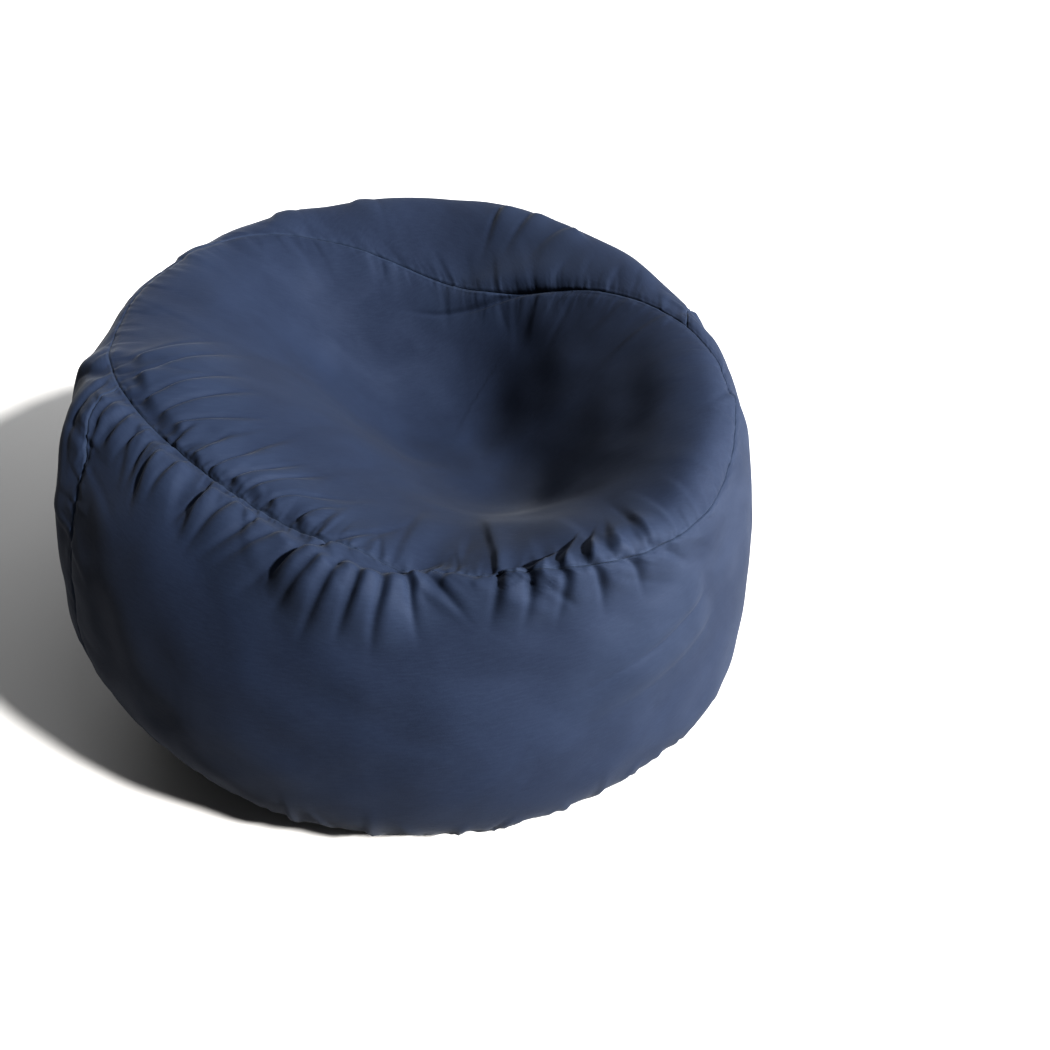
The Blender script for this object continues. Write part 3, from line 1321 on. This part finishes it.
def zip_stop(layer_name, word, side):
    """A metal stop crimped over both coils, with pressed ribs across it."""
    middle, half = zip_span(layer_name)
    depth = LAYER_DEPTHS[layer_name]
    radius = seam_place(0.0, -depth).x
    reach = half - COIL_END_MARGIN + (2 * END_CLEARANCE + STOP_LENGTH / 2) / radius
    rib = STOP_LENGTH / (2 * STOP_RIBS - 1)
    parts = [prism(box_outline(STOP_LENGTH, STOP_ACROSS), STOP_LOW, STOP_HIGH - STOP_RIB_DEPTH, 0.0004)]
    for count in range(STOP_RIBS):
        place = (-STOP_LENGTH / 2 + rib / 2 + 2 * rib * count, 0.0)
        outline = box_outline(rib * 0.9, STOP_ACROSS * 0.86, place)
        parts.append(prism(outline, STOP_HIGH - 3 * STOP_RIB_DEPTH, STOP_HIGH, 0.0002))
    return joined_object(f"{layer_name}_{word}_crimp", parts, seam_frame(middle + side * reach, -depth))


def care_label():
    """A thin blank satin label, sewn down along its lower edge, its free edge curling off the cover."""
    middle, half = zip_span("cover")
    reach = LABEL_WIDTH / 2 / FOOT_RADIUS
    centre = middle + half + 4 * reach
    up, out = foot_direction()
    seam = seam_place(0.0, 0.0)

    def place(across, along, lift):
        """A point on the label: across and along from 0 to 1."""
        slant = LABEL_LOW + (LABEL_HIGH - LABEL_LOW) * along
        curl = LABEL_CURL * along**2.2 * (1.0 + 0.35 * math.sin(2.2 * math.pi * across + 0.4))
        normal = LABEL_STAND_OFF + curl + lift
        angle = centre + (2 * across - 1) * reach
        away = seam.x + up.x * slant + out.x * normal
        return (away * math.cos(angle), away * math.sin(angle), seam.y + up.y * slant + out.y * normal)

    columns, rows = LABEL_CELLS
    outer, inner = (
        np.array([[place(i / columns, j / rows, lift) for i in range(columns + 1)] for j in range(rows + 1)])
        for lift in (LABEL_THICKNESS / 2, -LABEL_THICKNESS / 2)
    )
    label = cloth_mesh("blank_care_label", list(outer), list(inner), False)
    label.data.materials.append(label_material())
    label.data.materials.append(thread_material())
    add_stitches(label, place)
    return label


def add_stitches(label, place):
    """A row of stitches along the label's sewn edge, added to its mesh."""
    bm = bmesh.new()
    bm.from_mesh(label.data)
    step = (STITCH_LENGTH + STITCH_GAP) / LABEL_WIDTH
    along = STITCH_INSET / (LABEL_HIGH - LABEL_LOW)
    share = step / 2
    while share + STITCH_LENGTH / LABEL_WIDTH < 1.0:
        start = Vector(place(share, along, LABEL_THICKNESS / 2))
        end = Vector(place(share + STITCH_LENGTH / LABEL_WIDTH, along, LABEL_THICKNESS / 2))
        turn = (end - start).to_track_quat("Z", "Y").to_matrix().to_4x4()
        matrix = Matrix.Translation((start + end) / 2) @ turn
        made = bmesh.ops.create_uvsphere(bm, u_segments=8, v_segments=6, radius=STITCH_RADIUS)
        bmesh.ops.scale(bm, vec=(1, 1, STITCH_LENGTH / 2 / STITCH_RADIUS), verts=made["verts"])
        bmesh.ops.transform(bm, matrix=matrix, verts=made["verts"])
        for face in {face for vertex in made["verts"] for face in vertex.link_faces}:
            face.material_index = 1
            face.smooth = True
        share += step
    bm.to_mesh(label.data)
    bm.free()


# ---------------------------------------------------------------- materials


def new_material(name, roughness, metallic=0.0):
    material = bpy.data.materials.new(name)
    material.use_nodes = True
    shader = material.node_tree.nodes["Principled BSDF"]
    set_inputs(material, shader, {"Roughness": roughness, "Metallic": metallic})
    return material, shader


def set_inputs(material, node, inputs):
    """Set a node's inputs, each to a value or to another node's output."""
    for key, value in inputs.items():
        if isinstance(value, bpy.types.NodeSocket):
            material.node_tree.links.new(value, node.inputs[key])
        else:
            node.inputs[key].default_value = value


def add_node(material, kind, inputs=None, **settings):
    node = material.node_tree.nodes.new(kind)
    for key, value in settings.items():
        setattr(node, key, value)
    set_inputs(material, node, inputs or {})
    return node


def from_attribute(material, name, output):
    """One of the cloth data that the mesh carries."""
    return add_node(material, "ShaderNodeAttribute", attribute_name=name).outputs[output]


def object_place(material):
    return add_node(material, "ShaderNodeTexCoord").outputs["Object"]


def object_noise(material, scale, **settings):
    """Noise in object space."""
    return noise_on(material, object_place(material), scale, **settings)


def noise_on(material, place, scale, stretch=(1.0, 1.0, 1.0), detail=3.0, roughness=0.5, distortion=0.0):
    """Noise at places, stretched."""
    mapping = add_node(material, "ShaderNodeMapping", {"Vector": place, "Scale": stretch})
    inputs = {"Vector": mapping.outputs["Vector"], "Scale": scale, "Detail": detail}
    inputs |= {"Roughness": roughness, "Distortion": distortion}
    return add_node(material, "ShaderNodeTexNoise", inputs).outputs["Fac"]


# Sockets of the Mix node that carry colours
MIX_FIRST_COLOUR, MIX_SECOND_COLOUR, MIX_COLOUR_OUT = 6, 7, 2


def mixed(material, share, first, second):
    """A colour between two, each a colour or an output."""
    node = add_node(material, "ShaderNodeMix", {"Factor": share}, data_type="RGBA")
    for key, value in ((MIX_FIRST_COLOUR, first), (MIX_SECOND_COLOUR, second)):
        set_inputs(material, node, {key: (*value, 1.0) if isinstance(value, tuple) else value})
    return node.outputs[MIX_COLOUR_OUT]


def remapped(material, value, low, high, to_low=0.0, to_high=1.0):
    """A value moved from one range to another, and kept inside it."""
    inputs = {"Value": value, "From Min": low, "From Max": high, "To Min": to_low, "To Max": to_high}
    return add_node(material, "ShaderNodeMapRange", inputs).outputs["Result"]


def times(material, value, factor):
    return add_node(material, "ShaderNodeMath", {0: value, 1: factor}, operation="MULTIPLY").outputs[0]


def bumped(material, height, distance, strength=1.0, before=None):
    inputs = {"Height": height, "Distance": distance, "Strength": strength}
    if before is not None:
        inputs["Normal"] = before
    return add_node(material, "ShaderNodeBump", inputs).outputs["Normal"]


SUEDE_DARK = (0.0022, 0.0055, 0.0156)
SUEDE_MIDDLE = (0.0031, 0.0073, 0.0196)
SUEDE_LIGHT = (0.0126, 0.0208, 0.0380)
SUEDE_CREASE = (0.0006, 0.0015, 0.0050)


def suede_material():
    """Microsuede: a short nap that lies lighter and darker in soft patches and faint streaks."""
    material, shader = new_material("navy_suede", 0.85)
    flat = from_attribute(material, "cut", "Vector")
    fold = from_attribute(material, "fold", "Fac")
    edge = from_attribute(material, "edge", "Fac")
    patches = remapped(material, noise_on(material, flat, 7.0, detail=5.0, distortion=0.6), 0.36, 0.68)
    streaks = noise_on(material, flat, 34.0, (1.0, 9.0, 1.0), detail=5.0, roughness=0.6)
    grain = remapped(material, noise_on(material, flat, 620.0, detail=2.0), 0.35, 0.65)
    colour = mixed(material, patches, SUEDE_DARK, SUEDE_MIDDLE)
    for amount, share in (
        (remapped(material, streaks, 0.42, 0.68), 0.16),
        (grain, 0.16),
        (edge, 0.30),
        (remapped(material, fold, 0.1, 1.0), 0.12),
    ):
        colour = mixed(material, times(material, amount, share), colour, SUEDE_LIGHT)
    crease = times(material, remapped(material, fold, -0.05, -0.5), 0.65)
    colour = mixed(material, crease, colour, SUEDE_CREASE)
    nap = bumped(material, noise_on(material, flat, 1100.0, detail=2.0), 0.0003, 0.5)
    ripple = bumped(material, noise_on(material, flat, 70.0, (1.0, 2.2, 1.0), detail=4.0), 0.0006, 0.5, nap)
    roughness = remapped(material, patches, 0.0, 1.0, 0.90, 0.80)
    set_inputs(material, shader, {"Base Color": colour, "Roughness": roughness, "Normal": ripple})
    sheen = {"Sheen Weight": 0.015, "Sheen Roughness": 0.38, "Sheen Tint": (0.85, 0.91, 1.0, 1.0)}
    set_inputs(material, shader, {**sheen, "Specular IOR Level": 0.22})
    return material


def woven_material(name, colour, shade, thread, on_cut):
    """A plain weave: two crossing sets of threads that shade the colour and lift the surface."""
    material, shader = new_material(name, 0.8)
    place = from_attribute(material, "cut", "Vector") if on_cut else object_place(material)
    inputs = {"Vector": place, "Scale": 1.0 / (thread * math.tau), "Distortion": 0.6, "Detail": 1.0}
    first, second = (
        add_node(material, "ShaderNodeTexWave", inputs, bands_direction=axis).outputs["Fac"]
        for axis in ("X", "Y" if on_cut else "Z")
    )
    weave = times(material, first, second)
    slubs = remapped(material, noise_on(material, place, 40.0, (1.0, 6.0, 1.0), detail=4.0), 0.35, 0.7)
    tone = mixed(material, times(material, weave, 0.5), shade, colour)
    tone = mixed(material, times(material, slubs, 0.25), tone, shade)
    threads = bumped(material, weave, 0.3 * thread, 0.6)
    set_inputs(material, shader, {"Base Color": tone, "Normal": threads})
    set_inputs(material, shader, {"Sheen Weight": 0.2, "Specular IOR Level": 0.2})
    return material


def foam_material():
    """Shredded polyurethane foam: cream crumbs of slightly different shades with open pores."""
    material, shader = new_material("foam_crumbs", 0.92)
    place = object_place(material)
    cells = add_node(material, "ShaderNodeTexVoronoi", {"Vector": place, "Scale": 1.0 / CRUMB_SIZE})
    shade = remapped(material, cells.outputs["Distance"], 0.2, 0.9)
    tone = add_node(material, "ShaderNodeSeparateColor", {"Color": cells.outputs["Color"]}).outputs["Red"]
    colour = mixed(material, tone, (0.70, 0.60, 0.36), (0.84, 0.77, 0.56))
    colour = mixed(material, times(material, shade, 0.6), colour, (0.42, 0.34, 0.18))
    pores = noise_on(material, place, 900.0, detail=3.0)
    open_pores = times(material, remapped(material, pores, 0.55, 0.7), 0.4)
    colour = mixed(material, open_pores, colour, (0.50, 0.41, 0.22))
    surface = bumped(material, pores, 0.0008, 0.7)
    set_inputs(material, shader, {"Base Color": colour, "Normal": surface, "Specular IOR Level": 0.08})
    return material


def coil_material():
    """Dark nylon, slightly glossy, with faint moulding streaks."""
    material, shader = new_material("zip_coil_nylon", 0.42)
    streaks = remapped(material, object_noise(material, 300.0, detail=2.0), 0.3, 0.7)
    colour = mixed(material, streaks, (0.014, 0.019, 0.045), (0.030, 0.038, 0.075))
    roughness = remapped(material, streaks, 0.0, 1.0, 0.36, 0.52)
    set_inputs(material, shader, {"Base Color": colour, "Roughness": roughness})
    return material


def zip_metal_material():
    """Dark enamel on die-cast metal, rubbed thinner in patches."""
    material, shader = new_material("enamelled_zip_metal", 0.38, metallic=0.85)
    rub = remapped(material, object_noise(material, 500.0, detail=5.0), 0.45, 0.75)
    colour = mixed(material, rub, (0.060, 0.062, 0.070), (0.24, 0.24, 0.25))
    roughness = remapped(material, rub, 0.0, 1.0, 0.34, 0.55)
    surface = bumped(material, object_noise(material, 900.0, detail=3.0), 0.0001, 0.4)
    set_inputs(material, shader, {"Base Color": colour, "Roughness": roughness, "Normal": surface})
    return material


def label_material():
    """White satin ribbon: fine cross ribs and a soft gloss."""
    material, shader = new_material("blank_satin", 0.38)
    inputs = {"Vector": object_place(material), "Scale": 330.0}
    ribs = add_node(material, "ShaderNodeTexWave", inputs, bands_direction="Z").outputs["Fac"]
    colour = mixed(material, times(material, ribs, 0.4), (0.80, 0.80, 0.78), (0.66, 0.66, 0.65))
    surface = bumped(material, ribs, 0.00012, 0.5)
    set_inputs(material, shader, {"Base Color": colour, "Normal": surface, "Sheen Weight": 0.3})
    return material


def thread_material():
    """White sewing thread with a faint twist."""
    material, shader = new_material("white_thread", 0.6)
    twist = remapped(material, object_noise(material, 1500.0, detail=2.0), 0.3, 0.7)
    colour = mixed(material, twist, (0.50, 0.50, 0.50), (0.72, 0.72, 0.72))
    set_inputs(material, shader, {"Base Color": colour})
    return material


# ---------------------------------------------------------------- floor, lights and camera

CAMERA_AIM = Vector((0.199, -0.025, 0.289))
CAMERA_ELEVATION = math.radians(37.8)
CAMERA_DISTANCE = 2.175
CAMERA_LENS = 33.6

KEY_DIRECTION = Vector((0.883, -0.469, 0.71)).normalized()
KEY_STRENGTH, KEY_ANGLE = 15.7, math.radians(5.0)
SIDE_PLACE, SIDE_SIZE, SIDE_STRENGTH = Vector((3.2, -0.9, 1.1)), 1.6, 175.0
BACK_PLACE, BACK_SIZE, BACK_STRENGTH = Vector((-1.9, 3.1, 1.5)), 2.4, 110.0
TOP_PLACE, TOP_SIZE, TOP_STRENGTH = Vector((0.6, 0.1, 3.0)), 1.8, 30.0
WORLD_STRENGTH, BACKDROP_BRIGHTNESS = 0.17, 0.85
FLOOR_HALF_WIDTH = 12.0
FLOOR_DARK, FLOOR_LIGHT = (0.296, 0.296, 0.296), (0.304, 0.304, 0.304)


def add_camera():
    camera = add_object("camera", bpy.data.cameras.new("camera"))
    camera.data.lens = CAMERA_LENS
    toward = Vector((0.0, math.cos(CAMERA_ELEVATION), -math.sin(CAMERA_ELEVATION)))
    camera.location = CAMERA_AIM - toward * CAMERA_DISTANCE
    camera.rotation_euler = toward.to_track_quat("-Z", "Y").to_euler()
    bpy.context.scene.camera = camera


def add_key_light():
    """A distant light from the right front."""
    light = bpy.data.lights.new("key", "SUN")
    light.energy = KEY_STRENGTH
    light.angle = KEY_ANGLE
    light.color = (1.0, 0.975, 0.94)
    add_object("key", light).rotation_euler = (-KEY_DIRECTION).to_track_quat("-Z", "Y").to_euler()


def add_soft_light(name, place, size, strength):
    """A large square light that points at the chair."""
    light = bpy.data.lights.new(name, "AREA")
    light.energy = strength
    light.size = size
    obj = add_object(name, light)
    obj.location = place
    obj.rotation_euler = (CAMERA_AIM - place).to_track_quat("-Z", "Y").to_euler()


def add_floor():
    """A wide pale floor."""
    bm = bmesh.new()
    bmesh.ops.create_grid(bm, x_segments=8, y_segments=8, size=FLOOR_HALF_WIDTH)
    mesh = bpy.data.meshes.new("floor")
    bm.to_mesh(mesh)
    bm.free()
    floor = add_object("floor", mesh)
    material, shader = new_material("pale_floor", 0.9)
    shade = remapped(material, object_noise(material, 1.5), 0.3, 0.7)
    colour = mixed(material, shade, FLOOR_DARK, FLOOR_LIGHT)
    set_inputs(material, shader, {"Base Color": colour, "Specular IOR Level": 0.1})
    mesh.materials.append(material)


def add_world():
    """A pale world whose backdrop, as the camera sees it, is paler than its light."""
    world = bpy.data.worlds.new("studio")
    world.use_nodes = True
    seen = add_node(world, "ShaderNodeLightPath").outputs["Is Camera Ray"]
    strength = remapped(world, seen, 0.0, 1.0, WORLD_STRENGTH, BACKDROP_BRIGHTNESS)
    background = world.node_tree.nodes["Background"]
    set_inputs(world, background, {"Color": (1.0, 1.0, 1.0, 1.0), "Strength": strength})
    bpy.context.scene.world = world


def add_studio():
    bpy.context.scene.view_settings.view_transform = "Standard"
    bpy.context.scene.view_settings.look = "High Contrast"
    add_world()
    add_floor()
    add_key_light()
    add_soft_light("side", SIDE_PLACE, SIDE_SIZE, SIDE_STRENGTH)
    add_soft_light("back", BACK_PLACE, BACK_SIZE, BACK_STRENGTH)
    add_soft_light("top", TOP_PLACE, TOP_SIZE, TOP_STRENGTH)


# ---------------------------------------------------------------- putting the chair together


def finish_piece(piece, node, material, body="bag"):
    """Give a piece its material, and say which body it rides on and which CAD node it stands for."""
    if material is not None:
        piece.data.materials.append(material)
    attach(piece, body)
    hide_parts(node)


def add_zips():
    """Both zips and the label; the woven tapes keep their CAD shape."""
    coil, metal = coil_material(), zip_metal_material()
    tapes = {
        "cover": woven_material("navy_zip_tape", (0.030, 0.040, 0.085), (0.010, 0.014, 0.034), 0.0008, False),
        "liner": woven_material("white_zip_tape", (0.74, 0.74, 0.72), (0.50, 0.50, 0.49), 0.0008, False),
    }
    for layer_name, tape in tapes.items():
        for word, side in (("upper", 1), ("lower", -1)):
            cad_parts[f"{layer_name}_zip_{word}_tape"].material_slots[0].material = tape
            node = f"{layer_name}_zip_{word}_coil"
            finish_piece(zip_coil(layer_name, word, side), node, coil)
        for word, side in (("open_end", -1), ("closed_end", 1)):
            node = f"{layer_name}_zip_{word}_stop"
            finish_piece(zip_stop(layer_name, word, side), node, metal)
        body = f"{layer_name}_slider"
        finish_piece(zip_slider(layer_name), f"{layer_name}_zip_slider", metal, body=body)
    finish_piece(care_label(), "cover_care_label", None)


def main():
    suede = suede_material()
    cover_grid = shaped_grid()
    cover_grid = settled_grid(cover_grid)
    cover = Layer(
        name="cover",
        grid=cover_grid,
        folds=all_folds(),
        base_folds=base_puckers(41),
        foot_depth=0.0,
        thickness=COVER_THICKNESS,
        edge_roll=0.0012,
        groove_depth=0.0026,
        columns=1152,
        side_bands=((52, 2, 2.0), (88, 1, 1.0)),
        seat_bands=((56, 1, 1.0), (28, 2, 2.0), (20, 4, 3.0), (12, 8, 4.0)),
        inner_step=4,
    )
    liner = Layer(
        name="liner",
        grid=under_grid(cover, LINER_DEPTH, LINER_FOOT_DEPTH),
        folds=[],
        base_folds=[],
        foot_depth=LINER_FOOT_DEPTH,
        thickness=LINER_THICKNESS,
        edge_roll=0.0010,
        groove_depth=0.0,
        columns=384,
        side_bands=((48, 1, 1.0),),
        seat_bands=((20, 1, 1.0), (16, 2, 2.0), (12, 4, 3.0), (8, 8, 4.0)),
        inner_step=2,
    )
    liner_cloth = woven_material("white_liner_cloth", (0.78, 0.78, 0.76), (0.56, 0.56, 0.55), 0.0009, True)
    for layer, material, slot in ((cover, suede, "suede"), (liner, liner_cloth, "liner_cloth")):
        for node, panel in layer_panels(layer).items():
            finish_piece(panel, node, material)
    finish_piece(foam_body(cover), "foam_fill", foam_material())
    add_zips()
    add_studio()
    add_camera()


main()
